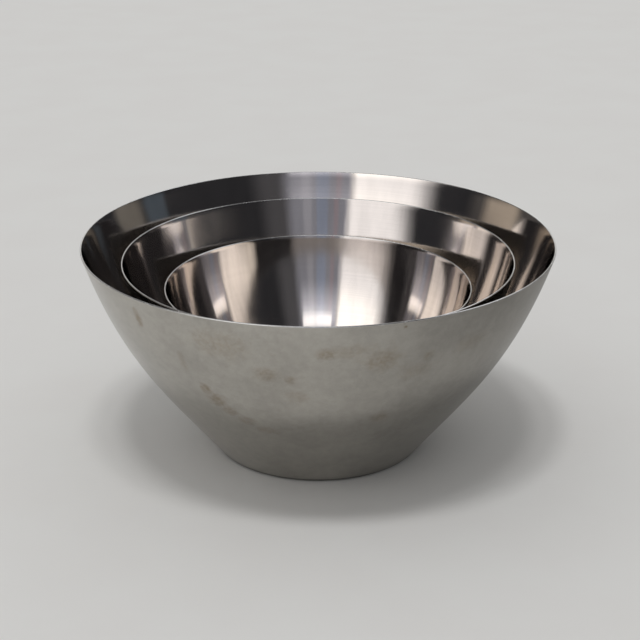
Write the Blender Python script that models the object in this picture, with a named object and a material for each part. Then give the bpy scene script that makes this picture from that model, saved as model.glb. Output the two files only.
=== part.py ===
"""A nest of three stainless steel bowls, each standing on the floor of the next larger one.

Each bowl is one round piece of pressed sheet: a flat floor, a tight heel, and a flaring wall that
ends in a round polished lip. Units are metres and +Z is up. The world origin is the middle of the
large bowl's underside, and the three bowls share the vertical axis through it. Each object's own
origin is the middle of its underside, so lifting a bowl out is a move along its Z axis.
"""

import math

import bmesh
import bpy
from mathutils import Vector

# Driving dimensions
SHEET = 0.0010  # thickness of the steel, the same all over
RESTING_GAP = 0.0003  # air between an underside and the floor that it stands on
HEEL_RADIUS = 0.0020  # bend between floor and wall, at the middle of the sheet

# Side view of a wall: a cubic curve along the middle of the sheet. Its four control points are
# shares of the rim radius (outwards) and of the height (upwards), from the heel to the lip. The
# smaller the bowl, the steeper its wall is at the rim.
LARGE_WALL = ((0.449, 0.00), (0.686, 0.34), (0.853, 0.50), (1.000, 1.00))
MEDIUM_WALL = ((0.480, 0.00), (0.670, 0.21), (0.890, 0.55), (1.000, 1.00))
SMALL_WALL = ((0.480, 0.00), (0.670, 0.21), (0.910, 0.57), (1.000, 1.00))

# Name, radius over the rim, height and wall, from the outermost bowl inwards
BOWLS = (
    ("bowl_large", 0.1500, 0.1380, LARGE_WALL),
    ("bowl_medium", 0.1251, 0.1247, MEDIUM_WALL),
    ("bowl_small", 0.0986, 0.1045, SMALL_WALL),
)

# How finely the round shapes are divided
TURN_STEPS = 64
WALL_STEPS = 8
HEEL_STEPS = 3
LIP_STEPS = 4

# Colour and roughness of the satin steel, from the outermost bowl inwards
FINISHES = {
    "bowl_large": ((0.46, 0.45, 0.43), 0.38),
    "bowl_medium": ((0.50, 0.48, 0.46), 0.28),
    "bowl_small": ((0.54, 0.52, 0.50), 0.24),
}

SHARP_ANGLE = math.radians(50)
MERGE_DISTANCE = 1e-6


def clear_scene():
    for thing in list(bpy.data.objects):
        bpy.data.objects.remove(thing, do_unlink=True)


def outward(tangent):
    """The unit normal on the outer side of a wall that climbs along tangent."""
    return Vector((tangent.y, -tangent.x)).normalized()


def cubic_curve(controls, share):
    """The point and the tangent of a cubic Bezier curve at a share of its way."""
    start, first, second, end = controls
    rest = 1.0 - share
    point = rest**3 * start + 3 * rest**2 * share * first + 3 * rest * share**2 * second + share**3 * end
    tangent = rest**2 * (first - start) + 2 * rest * share * (second - first) + share**2 * (end - second)
    return point, tangent


def middle_line(rim_radius, height, wall):
    """Points along the middle of the sheet with their outer normals, from the floor's edge to the lip."""
    half = SHEET / 2
    corner, first, second, lip = (
        Vector((across * (rim_radius - half), half + up * (height - SHEET))) for across, up in wall
    )

    # The heel is an arc that touches the floor and the first tangent of the wall.
    climb = (first - corner).normalized()
    turn = climb.angle(Vector((1.0, 0.0)))
    cut = HEEL_RADIUS * math.tan(turn / 2)
    centre = Vector((corner.x - cut, corner.y + HEEL_RADIUS))
    line = []
    for step in range(HEEL_STEPS):
        angle = turn * step / HEEL_STEPS
        normal = Vector((math.sin(angle), -math.cos(angle)))
        line.append((centre + HEEL_RADIUS * normal, normal))

    controls = (corner + cut * climb, first, second, lip)
    for step in range(WALL_STEPS + 1):
        point, tangent = cubic_curve(controls, step / WALL_STEPS)
        line.append((point, outward(tangent)))
    return line


def section(rim_radius, height, wall):
    """The sheet's outline on one side of the axis: out over the floor, up the inside, down the outside."""
    half = SHEET / 2
    line = middle_line(rim_radius, height, wall)
    inside = [point - half * normal for point, normal in line]
    outside = [point + half * normal for point, normal in reversed(line)]

    # The lip is half a circle from the inner face over the top to the outer face.
    lip, normal = line[-1]
    along = Vector((-normal.y, normal.x))
    over = []
    for step in range(1, LIP_STEPS):
        angle = math.pi * step / LIP_STEPS
        over.append(lip + half * (math.sin(angle) * along - math.cos(angle) * normal))

    return [Vector((0.0, SHEET)), *inside, *over, *outside, Vector((0.0, 0.0))]


def turned_mesh(name, outline):
    """The closed mesh that an outline in the XZ plane sweeps in one turn about the Z axis."""
    shape = bmesh.new()
    verts = [shape.verts.new((point.x, 0.0, point.y)) for point in outline]
    edges = [shape.edges.new(pair) for pair in zip(verts, verts[1:])]
    bmesh.ops.spin(
        shape,
        geom=verts + edges,
        cent=(0.0, 0.0, 0.0),
        axis=(0.0, 0.0, 1.0),
        angle=2 * math.pi,
        steps=TURN_STEPS,
        use_merge=True,
    )
    bmesh.ops.remove_doubles(shape, verts=shape.verts, dist=MERGE_DISTANCE)
    bmesh.ops.recalc_face_normals(shape, faces=shape.faces)
    mesh = bpy.data.meshes.new(name)
    shape.to_mesh(mesh)
    shape.free()
    mesh.shade_smooth()
    mesh.set_sharp_from_angle(angle=SHARP_ANGLE)
    return mesh


def steel(name, colour, roughness):
    """Satin stainless steel."""
    material = bpy.data.materials.new(name)
    material.use_nodes = True
    shader = material.node_tree.nodes["Principled BSDF"]
    shader.inputs["Base Color"].default_value = (*colour, 1.0)
    shader.inputs["Metallic"].default_value = 1.0
    shader.inputs["Roughness"].default_value = roughness
    return material


def make_bowl(name, rim_radius, height, wall, holder):
    """One bowl, standing on the floor of the bowl that holds it."""
    mesh = turned_mesh(name, section(rim_radius, height, wall))
    mesh.materials.append(steel(name + "_steel", *FINISHES[name]))
    bowl = bpy.data.objects.new(name, mesh)
    bpy.context.scene.collection.objects.link(bowl)
    if holder:
        bowl.parent = holder
        bowl.location.z = SHEET + RESTING_GAP
    return bowl


def main():
    clear_scene()
    holder = None
    for name, rim_radius, height, wall in BOWLS:
        holder = make_bowl(name, rim_radius, height, wall, holder)


main()
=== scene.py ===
"""Studio picture of a nest of three stainless steel bowls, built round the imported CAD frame.

Each bowl is turned again at a finer step than its CAD solid, from the same side view, and takes
three finishes: satin outside, finely turned and polished inside, and a polished lip. Metres, +Z up.
"""

import math

import bmesh
import bpy
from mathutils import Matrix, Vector


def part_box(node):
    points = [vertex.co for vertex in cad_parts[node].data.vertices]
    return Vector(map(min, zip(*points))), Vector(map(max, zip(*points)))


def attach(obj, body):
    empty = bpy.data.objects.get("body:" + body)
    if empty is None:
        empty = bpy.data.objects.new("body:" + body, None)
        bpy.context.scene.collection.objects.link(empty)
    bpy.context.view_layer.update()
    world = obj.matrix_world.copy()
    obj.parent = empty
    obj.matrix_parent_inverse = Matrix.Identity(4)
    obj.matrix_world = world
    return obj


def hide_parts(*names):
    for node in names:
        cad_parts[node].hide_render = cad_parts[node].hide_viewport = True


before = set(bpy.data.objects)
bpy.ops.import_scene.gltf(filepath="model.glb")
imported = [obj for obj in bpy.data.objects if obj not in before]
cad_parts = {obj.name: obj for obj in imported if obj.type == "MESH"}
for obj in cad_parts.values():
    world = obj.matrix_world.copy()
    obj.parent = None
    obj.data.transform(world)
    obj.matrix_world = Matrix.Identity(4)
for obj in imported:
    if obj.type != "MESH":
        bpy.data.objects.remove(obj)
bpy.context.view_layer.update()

# ---------------------------------------------------------------------------
# Driving dimensions, as in the CAD model
# ---------------------------------------------------------------------------
SHEET = 0.0010
HEEL_RADIUS = 0.0020
LARGE_WALL = ((0.449, 0.00), (0.686, 0.34), (0.853, 0.50), (1.000, 1.00))
MEDIUM_WALL = ((0.480, 0.00), (0.670, 0.21), (0.890, 0.55), (1.000, 1.00))
SMALL_WALL = ((0.480, 0.00), (0.670, 0.21), (0.910, 0.57), (1.000, 1.00))

# CAD node, the body that it rides on, the record's material slot, and the wall
BOWLS = (
    ("bowl_large", "large_bowl", "steel_large", LARGE_WALL),
    ("bowl_medium", "medium_bowl", "steel_medium", MEDIUM_WALL),
    ("bowl_small", "small_bowl", "steel_small", SMALL_WALL),
)

# How finely the bowls are turned
TURN_STEPS = 360
WALL_STEPS = 56
HEEL_STEPS = 8
LIP_STEPS = 12
FLOOR_RINGS = 6

OUTSIDE, INSIDE, LIP = 0, 1, 2  # material slots on each bowl

# ---------------------------------------------------------------------------
# Finishes: linear colours, how far each roughness ranges, pattern scales per metre, bump heights in metres
# ---------------------------------------------------------------------------
POLISHED = (0.64, 0.59, 0.55, 1.0)
POLISHED_ROUGHNESS = (0.065, 0.11)
TURNING_ANISOTROPY = 0.75
TURNING_ROTATION = 0.25  # a quarter turn from the tangent
HAZE_SCALE = 22.0
RING_SCALE = 900.0
RING_DRIFT = 9.0  # how fast a ring's strength changes along it
RING_BUMP = 0.0000012
FLUTE_SCALE = 7.0  # flutes on a circle one unit in radius, so each bowl has the same number
FLUTE_DRIFT = 2.0
FLUTE_BUMP = 0.00006

SATIN = (0.475, 0.456, 0.418, 1.0)
SATIN_ROUGHNESS = (0.21, 0.27)
CLOUD_SCALE = 26.0
MOTTLE_SCALE = 190.0
GRAIN_SCALE = 1500.0
SATIN_BUMP = 0.000004
EDGE_SHADE_HEIGHTS = (0.0003, 0.0030)  # painted shade along the standing edge: where it begins to fade and where it is gone
# how dark the painted shade makes the standing edge
EDGE_SHADE_TONE = 0.35

LIP_STEEL = (0.72, 0.71, 0.69, 1.0)
LIP_ROUGHNESS = (0.16, 0.28)
WEAR_SCALE = 240.0
WEAR_BUMP = 0.00002

STAIN = (0.66, 0.57, 0.46, 1.0)  # multiplies the satin steel's colour
STAIN_EDGE_SCALE = 130.0
SPECKLE_SCALE = 420.0

TABLE_TONES = ((0.795, 0.785, 0.770, 1.0), (0.805, 0.800, 0.785, 1.0))
TABLE_PATCH_SCALE = 14.0
TABLE_ROUGHNESS = 0.9
TABLE_SIZE = 60.0
TABLE_CELLS = 10

# Water and handling marks: degrees from the front towards +X, height, half width, half height, depth
STAINS = (
    (-45.6, 0.1245, 0.0035, 0.0070, 0.85),
    (-35.0, 0.1010, 0.0030, 0.0080, 0.35),
    (-31.0, 0.0825, 0.0040, 0.0045, 0.75),
    (-28.9, 0.0745, 0.0065, 0.0055, 0.70),
    (-26.2, 0.0670, 0.0060, 0.0050, 0.55),
    (-21.7, 0.0600, 0.0070, 0.0045, 0.45),
    (-16.4, 0.0535, 0.0080, 0.0040, 0.35),
    (-22.3, 0.1205, 0.0190, 0.0110, 0.35),
    (-12.6, 0.1020, 0.0080, 0.0060, 0.45),
    (-6.7, 0.0987, 0.0035, 0.0035, 0.50),
    (-5.3, 0.0870, 0.0060, 0.0050, 0.30),
    (1.8, 0.1190, 0.0065, 0.0045, 0.60),
    (7.1, 0.1200, 0.0160, 0.0060, 0.30),
    (15.0, 0.1120, 0.0130, 0.0085, 0.50),
    (24.1, 0.1000, 0.0120, 0.0060, 0.25),
    (26.4, 0.1103, 0.0040, 0.0040, 0.45),
    (38.9, 0.1130, 0.0130, 0.0070, 0.30),
    (18.1, 0.0655, 0.0060, 0.0050, 0.45),
    (19.0, 0.1342, 0.0012, 0.0010, 0.90),
)

# ---------------------------------------------------------------------------
# Light
# ---------------------------------------------------------------------------
AMBIENT = (0.030, 0.031, 0.035)
BACKDROP = (0.594, 0.588, 0.576)

# What the polished steel mirrors. Azimuths run from the camera's side towards +X and elevations from
# the horizon, in degrees, each as where a panel starts, is full, fades and ends. A panel's lean is how
# far its first side moves back for each degree up.
PANELS = (
    ("key", (-69, -46, -22, -16), (-40, -20, 36, 62), 0.6, (1.26, 1.26, 1.29)),
    ("key_top", (-62, -48, -22, -16), (17, 27, 36, 62), 0.6, (0.56, 0.54, 0.48)),
    ("key_wide", (-93, -82, -74, -60), (28, 34, 42, 54), 0.0, (1.30, 1.28, 1.22)),
    ("front", (-20, -17, 14, 22), (-10, -4, 80, 90), 0.0, (0.24, 0.25, 0.295)),
    ("front_edge", (15, 21, 27, 40), (-10, -4, 50, 70), 0.0, (0.06, 0.06, 0.065)),
    ("front_red", (-14, -12, -11, -9), (-10, -4, 40, 50), 0.0, (0.05, 0.00, -0.01)),
    ("front_blue", (-7, -5, 0, 2), (-10, -4, 40, 50), 0.0, (0.00, 0.03, 0.08)),
    ("front_pale", (3, 5, 8, 10), (-10, -4, 40, 50), 0.0, (0.08, 0.08, 0.085)),
    ("front_rise", (-19, -16, 13, 18), (18, 32, 31, 34), 0.0, (0.60, 0.62, 0.70)),
    ("front_top", (-15, -13, 15, 17), (29.4, 30.6, 33.2, 34.6), 0.0, (1.55, 1.55, 1.50)),
    ("right_haze", (52, 66, 84, 90), (-10, -5, 8, 14), 0.0, (0.04, 0.04, 0.04)),
    ("right_blue", (85, 88, 97, 102), (-10, -5, 12, 18), 0.0, (0.05, 0.07, 0.09)),
    ("right_olive", (98, 107, 118, 125), (-10, -5, 8, 16), 0.0, (0.15, 0.14, 0.12)),
    ("left_beige", (-124, -115, -100, -92), (-10, -5, 6, 17), 0.0, (0.41, 0.35, 0.28)),
    ("left_haze", (-152, -140, -92, -82), (-10, -5, 10, 18), 0.0, (0.06, 0.055, 0.05)),
    ("right_back", (62, 104, 128, 158), (26, 36, 54, 66), 0.0, (1.42, 1.44, 1.50)),
    ("backdrop", (146, 158, 202, 214), (-30, -22, 22, 34), 0.0, (0.70, 0.69, 0.67)),
    ("backdrop_left", (-214, -202, -158, -146), (-30, -22, 22, 34), 0.0, (0.70, 0.69, 0.67)),
    ("back", (138, 152, 208, 222), (16, 32, 52, 66), 0.0, (0.36, 0.36, 0.37)),
    ("back_left", (-222, -208, -152, -138), (16, 32, 52, 66), 0.0, (0.36, 0.36, 0.37)),
    ("ceiling", (-999, -998, 998, 999), (62, 80, 100, 101), 0.0, (0.90, 0.90, 0.90)),
)
LEAN_FROM = 15.0  # elevation at which a leaning panel has its stated azimuths

# Light on the table top: how bright the sky is at the horizon, and what it gains along each axis
SKY_LEVEL = 0.23
SKY_SLOPE = (-0.16, 0.06, 0.42)
SKY_TINT = (1.0, 1.0, 0.995)

# The overhead lights, which give the shadow its wide soft edge: energy and direction
OVERHEAD = (
    (0.47, (-0.120, -0.225, 1.0)),
    (0.33, (0.035, -0.225, 1.0)),
)
OVERHEAD_WIDTH = math.radians(8)

# Painted shade on the table top as the steel mirrors it: how far to the right it begins and ends to darken,
# and the share that it loses
MIRRORED_SHADE_FROM_TO = (0.0, 0.26)
MIRRORED_SHADE_SHARE = 0.48

# ---------------------------------------------------------------------------
# Camera
# ---------------------------------------------------------------------------
LENS_MM = 87.5
SENSOR_MM = 36.0
CAMERA_PLACE = (0.0, -0.937, 0.457)
CAMERA_DOWN = 21.81  # degrees below the horizon
CAMERA_YAW = -0.0013  # radians


# ---------------------------------------------------------------------------
# Shape
# ---------------------------------------------------------------------------
def outward(tangent):
    """The unit normal on the outer side of a wall that climbs along tangent."""
    return Vector((tangent.y, -tangent.x)).normalized()


def cubic_curve(controls, share):
    """The point and the tangent of a cubic Bezier curve at a share of its way."""
    start, first, second, end = controls
    rest = 1.0 - share
    point = rest**3 * start + 3 * rest**2 * share * first + 3 * rest * share**2 * second + share**3 * end
    tangent = rest**2 * (first - start) + 2 * rest * share * (second - first) + share**2 * (end - second)
    return point, tangent


def middle_line(rim_radius, height, wall):
    """Points along the middle of the sheet with their outer normals, from the floor's edge to the lip."""
    half = SHEET / 2
    corner, first, second, lip = (
        Vector((across * (rim_radius - half), half + up * (height - SHEET))) for across, up in wall
    )
    climb = (first - corner).normalized()
    turn = climb.angle(Vector((1.0, 0.0)))
    cut = HEEL_RADIUS * math.tan(turn / 2)
    centre = Vector((corner.x - cut, corner.y + HEEL_RADIUS))
    line = []
    for step in range(HEEL_STEPS):
        angle = turn * step / HEEL_STEPS
        normal = Vector((math.sin(angle), -math.cos(angle)))
        line.append((centre + HEEL_RADIUS * normal, normal))
    controls = (corner + cut * climb, first, second, lip)
    for step in range(WALL_STEPS + 1):
        point, tangent = cubic_curve(controls, step / WALL_STEPS)
        line.append((point, outward(tangent)))
    return line


def section(rim_radius, height, wall):
    """The sheet's outline beside the axis, as (radius, height, finish), from the floor to the underside."""
    half = SHEET / 2
    line = middle_line(rim_radius, height, wall)
    edge = line[0][0].x
    floor = [edge * ring / FLOOR_RINGS for ring in range(FLOOR_RINGS)]
    outline = [(radius, SHEET, INSIDE) for radius in floor]
    for point, normal in line:
        inner = point - half * normal
        outline.append((inner.x, inner.y, INSIDE))
    lip, normal = line[-1]
    along = Vector((-normal.y, normal.x))
    outline[-1] = (*outline[-1][:2], LIP)
    for step in range(1, LIP_STEPS):
        angle = math.pi * step / LIP_STEPS
        over = lip + half * (math.sin(angle) * along - math.cos(angle) * normal)
        outline.append((over.x, over.y, LIP))
    for point, normal in reversed(line):
        outer = point + half * normal
        outline.append((outer.x, outer.y, OUTSIDE))
    outline += [(radius, 0.0, OUTSIDE) for radius in reversed(floor)]
    return outline


def turned(name, outline, base):
    """The closed mesh that an outline sweeps in one turn about the Z axis, standing at height base."""
    shape = bmesh.new()
    rings = []
    for radius, height, _finish in outline:
        if radius == 0.0:
            rings.append([shape.verts.new((0.0, 0.0, base + height))])
            continue
        ring = []
        for step in range(TURN_STEPS):
            angle = 2 * math.pi * step / TURN_STEPS
            ring.append(shape.verts.new((radius * math.cos(angle), radius * math.sin(angle), base + height)))
        rings.append(ring)
    for lower, upper, (_radius, _height, finish) in zip(rings, rings[1:], outline):
        for step in range(TURN_STEPS):
            after = (step + 1) % TURN_STEPS
            corners = [lower[step % len(lower)], lower[after % len(lower)]]
            corners += [upper[after % len(upper)], upper[step % len(upper)]]
            face = shape.faces.new(list(dict.fromkeys(corners)))
            face.material_index = finish
            face.smooth = True
    mesh = bpy.data.meshes.new(name)
    shape.to_mesh(mesh)
    shape.free()
    return mesh


# ---------------------------------------------------------------------------
# Node trees
# ---------------------------------------------------------------------------
class Nodes:
    """Short calls for building a node tree."""

    def __init__(self, tree):
        self.tree = tree

    def put(self, socket, value):
        """Links a socket to the input, or sets the input's own value."""
        if isinstance(value, bpy.types.NodeSocket):
            self.tree.links.new(value, socket)
        else:
            socket.default_value = value

    def add(self, kind, settings=None, **inputs):
        """A new node, with an input's name written with underscores for its spaces."""
        node = self.tree.nodes.new(kind)
        for key, value in (settings or {}).items():
            setattr(node, key, value)
        for key, value in inputs.items():
            self.put(node.inputs[key.replace("_", " ")], value)
        return node

    def maths(self, operation, *values):
        node = self.tree.nodes.new("ShaderNodeMath")
        node.operation = operation
        for socket, value in zip(node.inputs, values):
            self.put(socket, value)
        return node.outputs[0]

    def length(self, first, second):
        """The square root of the sum of two squares."""
        squares = (self.maths("MULTIPLY", value, value) for value in (first, second))
        return self.maths("SQRT", self.maths("ADD", *squares))

    def vector(self, operation, *values):
        node = self.tree.nodes.new("ShaderNodeVectorMath")
        node.operation = operation
        for socket, value in zip(node.inputs, values):
            self.put(socket, value)
        return node

    def scaled(self, vector, scale):
        node = self.vector("SCALE", vector)
        self.put(node.inputs["Scale"], scale)
        return node.outputs[0]

    def ramp(self, value, start, end, low=0.0, high=1.0, kind="SMOOTHSTEP"):
        """Low below start, high above end, and a smooth way between them."""
        node = self.add("ShaderNodeMapRange", {"interpolation_type": kind}, Value=value)
        self.put(node.inputs["From Min"], start)
        self.put(node.inputs["From Max"], end)
        self.put(node.inputs["To Min"], low)
        self.put(node.inputs["To Max"], high)
        return node.outputs[0]

    def noise(self, vector, scale, detail=2.0, roughness=0.5):
        node = self.add("ShaderNodeTexNoise", Vector=vector, Scale=scale, Detail=detail, Roughness=roughness)
        return node.outputs["Fac"]

    def mixed(self, factor, first, second, blend="MIX"):
        """Two colours, mixed or blended by a factor."""
        node = self.tree.nodes.new("ShaderNodeMix")
        node.data_type = "RGBA"
        node.blend_type = blend
        self.put(node.inputs[0], factor)
        self.put(node.inputs[6], first)
        self.put(node.inputs[7], second)
        return node.outputs[2]

    def toned(self, colour, tone):
        """A colour multiplied by a plain number."""
        grey = self.add("ShaderNodeCombineColor", Red=tone, Green=tone, Blue=tone).outputs[0]
        return self.mixed(1.0, colour, grey, "MULTIPLY")

    def bump(self, distance, height):
        """A bump from a height pattern, with its distance in metres."""
        return self.add("ShaderNodeBump", Strength=1.0, Distance=distance, Height=height)


# ---------------------------------------------------------------------------
# Studio
# ---------------------------------------------------------------------------
def mirrored_studio(n, direction):
    """The dark studio with its soft panels, as the polished steel sees it."""
    x, y, z = n.add("ShaderNodeSeparateXYZ", Vector=direction).outputs
    azimuth = n.maths("DEGREES", n.maths("ARCTAN2", x, n.maths("MULTIPLY", y, -1.0)))
    elevation = n.maths("DEGREES", n.maths("ARCSINE", z))

    def between(value, start, full, fade, end):
        return n.maths("SUBTRACT", n.ramp(value, start, full), n.ramp(value, fade, end))

    light = AMBIENT
    for _name, (start, full, fade, end), up, lean, colour in PANELS:
        leaning = n.maths("MULTIPLY_ADD", n.maths("SUBTRACT", elevation, LEAN_FROM), lean, azimuth)
        wide = n.maths("SUBTRACT", n.ramp(leaning, start, full), n.ramp(azimuth, fade, end))
        share = n.maths("MULTIPLY", wide, between(elevation, *up))
        light = n.vector("ADD", light, n.scaled(colour, share)).outputs[0]
    return light


def even_sky(n, direction):
    """The soft light that falls on the table top: brighter from above, and a little from the left."""
    slope = n.vector("DOT_PRODUCT", direction, SKY_SLOPE).outputs["Value"]
    return n.scaled(SKY_TINT, n.maths("MAXIMUM", n.maths("ADD", slope, SKY_LEVEL), 0.0))


def make_studio():
    """Panels for mirror reflections, an even sky for everything else, and a pale backdrop for the camera."""
    world = bpy.data.worlds.new("studio")
    bpy.context.scene.world = world
    world.use_nodes = True
    world.cycles.sampling_method = "NONE"  # so that each kind of ray sees its own light
    world.node_tree.nodes.clear()
    n = Nodes(world.node_tree)
    direction = n.add("ShaderNodeTexCoord").outputs["Generated"]
    ray = n.add("ShaderNodeLightPath")
    panels = n.add("ShaderNodeBackground", Color=mirrored_studio(n, direction))
    sky = n.add("ShaderNodeBackground", Color=even_sky(n, direction))
    backdrop = n.add("ShaderNodeBackground", Color=(*BACKDROP, 1.0))
    lit = n.add("ShaderNodeMixShader", Fac=ray.outputs["Is Glossy Ray"])
    n.put(lit.inputs[1], sky.outputs[0])
    n.put(lit.inputs[2], panels.outputs[0])
    seen = n.add("ShaderNodeMixShader", Fac=ray.outputs["Is Camera Ray"])
    n.put(seen.inputs[1], lit.outputs[0])
    n.put(seen.inputs[2], backdrop.outputs[0])
    n.add("ShaderNodeOutputWorld", Surface=seen.outputs[0])


def make_overhead_lights():
    """The wide lights from above. The steel mirrors the panels in their place."""
    for energy, towards in OVERHEAD:
        lamp = bpy.data.lights.new("overhead", "SUN")
        lamp.energy = energy
        lamp.angle = OVERHEAD_WIDTH
        holder = bpy.data.objects.new("overhead", lamp)
        holder.visible_glossy = False
        holder.rotation_mode = "QUATERNION"
        holder.rotation_quaternion = Vector(towards).to_track_quat("Z", "Y")
        bpy.context.scene.collection.objects.link(holder)


# ---------------------------------------------------------------------------
# Materials
# ---------------------------------------------------------------------------
def metal(name):
    """A bare metal: its material, its nodes, its shader, and the object's own coordinates."""
    material = bpy.data.materials.new(name)
    material.use_nodes = True
    shader = material.node_tree.nodes["Principled BSDF"]
    shader.inputs["Metallic"].default_value = 1.0
    n = Nodes(material.node_tree)
    return material, n, shader, n.add("ShaderNodeTexCoord").outputs["Object"]


def turning_marks(n, place):
    """Two patterns that follow the bowl: fine rings up the wall, and broad flutes that run down it."""
    x, y, z = n.add("ShaderNodeSeparateXYZ", Vector=place).outputs
    radius = n.length(x, y)
    climb = n.maths("ADD", radius, z)
    rings_at = n.add(
        "ShaderNodeCombineXYZ",
        X=n.maths("MULTIPLY", x, RING_DRIFT),
        Y=n.maths("MULTIPLY", y, RING_DRIFT),
        Z=n.maths("MULTIPLY", climb, RING_SCALE),
    )
    rings = n.noise(rings_at.outputs[0], 1.0, detail=1.0, roughness=0.6)
    flutes_at = n.add(
        "ShaderNodeCombineXYZ",
        X=n.maths("DIVIDE", x, radius),
        Y=n.maths("DIVIDE", y, radius),
        Z=n.maths("MULTIPLY", z, FLUTE_DRIFT),
    )
    flutes = n.noise(flutes_at.outputs[0], FLUTE_SCALE, detail=3.0, roughness=0.55)
    return rings, flutes


def steel_inside():
    """Polished steel with turning rings, faint flutes and thin hazy patches."""
    material, n, shader, place = metal("steel_inside")
    around = n.add("ShaderNodeTangent", {"direction_type": "RADIAL", "axis": "Z"})
    n.put(shader.inputs["Tangent"], around.outputs[0])
    shader.inputs["Anisotropic"].default_value = TURNING_ANISOTROPY
    shader.inputs["Anisotropic Rotation"].default_value = TURNING_ROTATION
    rings, flutes = turning_marks(n, place)
    haze = n.noise(place, HAZE_SCALE, detail=3.0)
    tone = n.maths("ADD", n.ramp(rings, 0.3, 0.7, 0.965, 1.0), n.ramp(flutes, 0.35, 0.65, -0.05, 0.05))
    n.put(shader.inputs["Base Color"], n.toned(POLISHED, tone))
    n.put(shader.inputs["Roughness"], n.ramp(haze, 0.35, 0.75, *POLISHED_ROUGHNESS))
    ringed = n.bump(RING_BUMP, rings)
    fluted = n.bump(FLUTE_BUMP, flutes)
    n.put(fluted.inputs["Normal"], ringed.outputs[0])
    n.put(shader.inputs["Normal"], fluted.outputs[0])
    return material


def stain_mask(n, place):
    """How deep the marks on the outside are at each place, from 0 to about 1."""
    x, y, z = n.add("ShaderNodeSeparateXYZ", Vector=place).outputs
    radius = n.length(x, y)
    turn = n.maths("ARCTAN2", x, n.maths("MULTIPLY", y, -1.0))
    edge = n.noise(place, STAIN_EDGE_SCALE, detail=4.0, roughness=0.65)
    ragged = n.ramp(edge, 0.3, 0.7, 0.65, 1.45, "LINEAR")
    depth = 0.0
    for degrees, height, half_width, half_height, strength in STAINS:
        across = n.maths("MULTIPLY", n.maths("SUBTRACT", turn, math.radians(degrees)), radius)
        across = n.maths("DIVIDE", across, half_width)
        up = n.maths("DIVIDE", n.maths("SUBTRACT", z, height), half_height)
        away = n.maths("MULTIPLY", n.length(across, up), ragged)
        depth = n.maths("MAXIMUM", n.ramp(away, 0.2, 1.4, strength, 0.0), depth)
    speckle = n.noise(place, SPECKLE_SCALE, detail=3.0, roughness=0.6)
    return n.maths("MULTIPLY", depth, n.ramp(speckle, 0.35, 0.65, 0.55, 1.25))


def steel_outside():
    """Satin steel with cloudy tone, fine grain, brownish marks and painted shade along the standing edge."""
    material, n, shader, place = metal("steel_outside")
    clouds = n.noise(place, CLOUD_SCALE, detail=4.0, roughness=0.6)
    mottle = n.noise(place, MOTTLE_SCALE, detail=3.0, roughness=0.6)
    grain = n.noise(place, GRAIN_SCALE, detail=2.0)
    tone = n.maths("ADD", n.ramp(clouds, 0.3, 0.7, 0.89, 1.05), n.ramp(mottle, 0.3, 0.7, -0.045, 0.045))
    tone = n.maths("ADD", tone, n.ramp(grain, 0.3, 0.7, -0.035, 0.035))
    # painted shade: the colour darkens towards the standing edge, where the bowl meets the table
    height = n.add("ShaderNodeSeparateXYZ", Vector=place).outputs["Z"]
    tone = n.maths("MULTIPLY", tone, n.ramp(height, *EDGE_SHADE_HEIGHTS, EDGE_SHADE_TONE, 1.0))
    satin = n.toned(SATIN, tone)
    stained = n.mixed(stain_mask(n, place), satin, n.mixed(1.0, satin, STAIN, "MULTIPLY"))
    n.put(shader.inputs["Base Color"], stained)
    n.put(shader.inputs["Roughness"], n.ramp(clouds, 0.3, 0.7, *SATIN_ROUGHNESS))
    n.put(shader.inputs["Normal"], n.bump(SATIN_BUMP, n.maths("ADD", mottle, grain)).outputs[0])
    return material


def steel_lip():
    """The polished rim, with small worn dints."""
    material, n, shader, place = metal("steel_lip")
    wear = n.noise(place, WEAR_SCALE, detail=3.0)
    n.put(shader.inputs["Base Color"], n.toned(LIP_STEEL, n.ramp(wear, 0.3, 0.7, 0.86, 1.0)))
    n.put(shader.inputs["Roughness"], n.ramp(wear, 0.3, 0.7, *LIP_ROUGHNESS))
    n.put(shader.inputs["Normal"], n.bump(WEAR_BUMP, wear).outputs[0])
    return material


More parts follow.
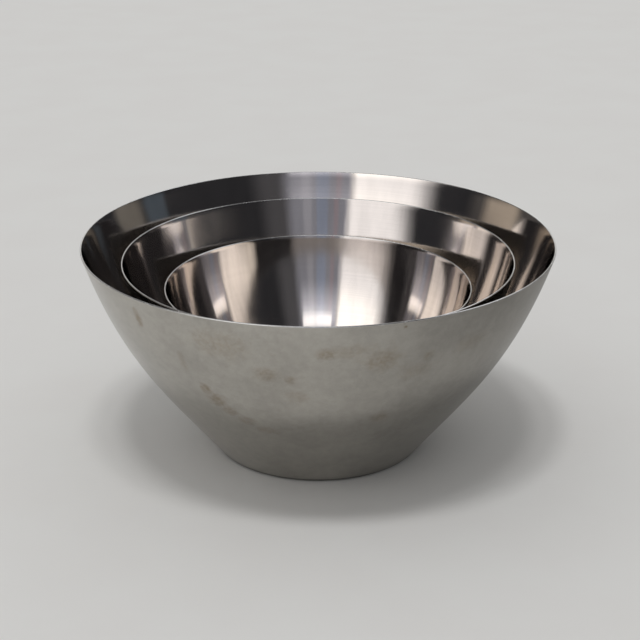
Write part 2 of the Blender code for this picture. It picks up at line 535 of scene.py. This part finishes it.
def pale_table_top():
    """A plain pale surface. The steel mirrors it darker to the right, a painted shade where the studio has
    no light.
    """
    material = bpy.data.materials.new("floor")
    material.use_nodes = True
    shader = material.node_tree.nodes["Principled BSDF"]
    shader.inputs["Roughness"].default_value = TABLE_ROUGHNESS
    shader.inputs["Specular IOR Level"].default_value = 0.0
    n = Nodes(material.node_tree)
    place = n.add("ShaderNodeTexCoord").outputs["Object"]
    patches = n.noise(place, TABLE_PATCH_SCALE, detail=4.0)
    colour = n.mixed(n.ramp(patches, 0.3, 0.7), *TABLE_TONES)
    across = n.add("ShaderNodeSeparateXYZ", Vector=place).outputs["X"]
    # painted shade, seen only in the steel's reflections: the table top darker to the right
    painted_shade = n.ramp(across, *MIRRORED_SHADE_FROM_TO, 0.0, MIRRORED_SHADE_SHARE, "LINEAR")
    mirrored = n.add("ShaderNodeLightPath").outputs["Is Glossy Ray"]
    kept = n.maths("SUBTRACT", 1.0, n.maths("MULTIPLY", painted_shade, mirrored))
    n.put(shader.inputs["Base Color"], n.toned(colour, kept))
    return material


# ---------------------------------------------------------------------------
# Building
# ---------------------------------------------------------------------------
def make_bowls():
    finishes = (steel_outside(), steel_inside(), steel_lip())
    for node, body, slot, wall in BOWLS:
        low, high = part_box(node)
        mesh = turned(node + "_turned", section(high.x, high.z - low.z, wall), low.z)
        for finish in finishes:
            mesh.materials.append(finish)
        bowl = bpy.data.objects.new(node + "_turned", mesh)
        bpy.context.scene.collection.objects.link(bowl)
        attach(bowl, body)
        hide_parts(node)


def make_floor():
    bpy.ops.mesh.primitive_grid_add(x_subdivisions=TABLE_CELLS, y_subdivisions=TABLE_CELLS, size=TABLE_SIZE)
    floor = bpy.context.object
    floor.name = "floor"
    floor.data.materials.append(pale_table_top())


def make_camera():
    lens = bpy.data.cameras.new("camera")
    lens.lens = LENS_MM
    lens.sensor_width = SENSOR_MM
    camera = bpy.data.objects.new("camera", lens)
    bpy.context.scene.collection.objects.link(camera)
    camera.location = CAMERA_PLACE
    camera.rotation_euler = (math.radians(90 - CAMERA_DOWN), 0.0, CAMERA_YAW)
    bpy.context.scene.camera = camera


bpy.context.scene.view_settings.view_transform = "Standard"
make_bowls()
make_floor()
make_studio()
make_overhead_lights()
make_camera()
